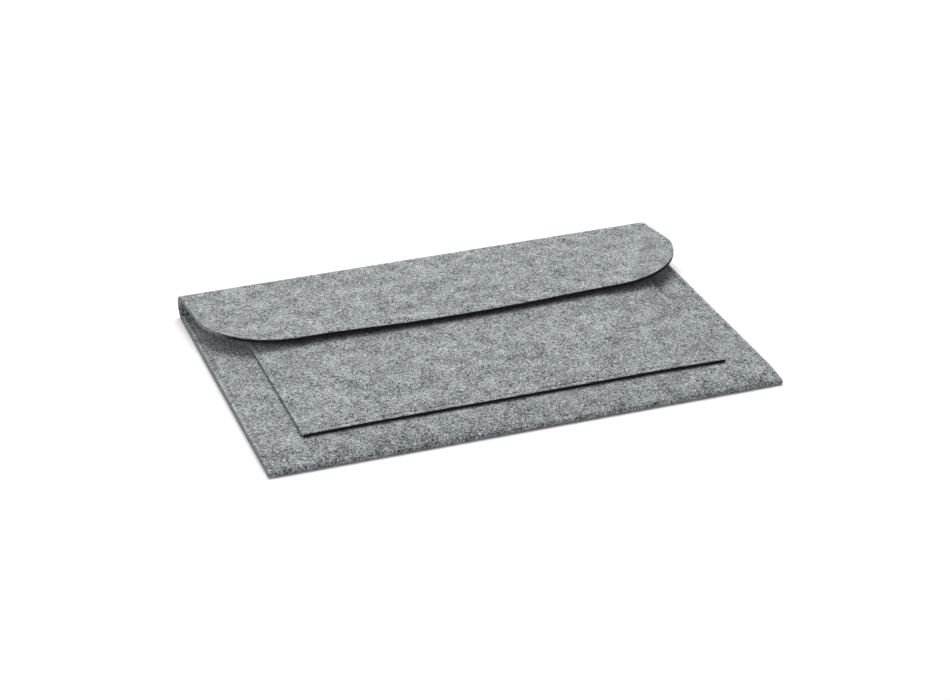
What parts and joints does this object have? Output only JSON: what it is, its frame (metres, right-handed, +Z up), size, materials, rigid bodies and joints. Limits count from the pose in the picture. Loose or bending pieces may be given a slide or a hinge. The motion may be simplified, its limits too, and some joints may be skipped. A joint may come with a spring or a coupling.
{
  "type": "laptop sleeve",
  "caption": "Flat felt laptop sleeve with a full-width fold-over flap with rounded corners and a sewn front pocket under it.",
  "frame": {"origin": "on the resting plane, under the middle of the closed sleeve", "axes": "+X along the long side, to the right as seen from the front fold; +Y from the front fold to the mouth and rear fold; +Z up, away from the back panel"},
  "size_m": [0.38, 0.27, 0.02],
  "materials": {
    "felt": "matte felt, grey marl",
    "thread": "matte polyester thread",
    "closure_loop": "fuzzy loop tape",
    "closure_hook": "moulded hook tape"
  },
  "bodies": {
    "pouch": {"back_panel": "felt", "front_fold": "felt", "front_panel": "felt", "pocket_panel": "felt", "left_side_stitching": "thread", "right_side_stitching": "thread", "pocket_stitching": "thread", "loop_patch": "closure_loop"},
    "fold_strip_lower": {"rear_fold_lower": "felt"},
    "fold_strip_middle": {"rear_fold_middle": "felt"},
    "fold_strip_upper": {"rear_fold_upper": "felt"},
    "flap": {"flap": "felt", "hook_patch": "closure_hook"}
  },
  "joints": [
    {"name": "flap_opening", "type": "hinge", "parent": "pouch", "child": "fold_strip_lower", "pos_m": [0, 0.12825, 0.00215], "axis": [-1, 0, 0], "range_deg": [0, 45]},
    {"name": "fold_line_2", "type": "hinge", "parent": "fold_strip_lower", "child": "fold_strip_middle", "pos_m": [0, 0.13285, 0.00675], "axis": [-1, 0, 0], "range_deg": [0, 45]},
    {"name": "fold_line_3", "type": "hinge", "parent": "fold_strip_middle", "child": "fold_strip_upper", "pos_m": [0, 0.13285, 0.01325], "axis": [-1, 0, 0], "range_deg": [0, 45]},
    {"name": "fold_line_4", "type": "hinge", "parent": "fold_strip_upper", "child": "flap", "pos_m": [0, 0.12825, 0.01785], "axis": [-1, 0, 0], "range_deg": [0, 45]}
  ],
  "couplings": [
    {"joint": "fold_line_2", "follows": "flap_opening", "ratio": 1},
    {"joint": "fold_line_3", "follows": "flap_opening", "ratio": 1},
    {"joint": "fold_line_4", "follows": "flap_opening", "ratio": 1}
  ]
}
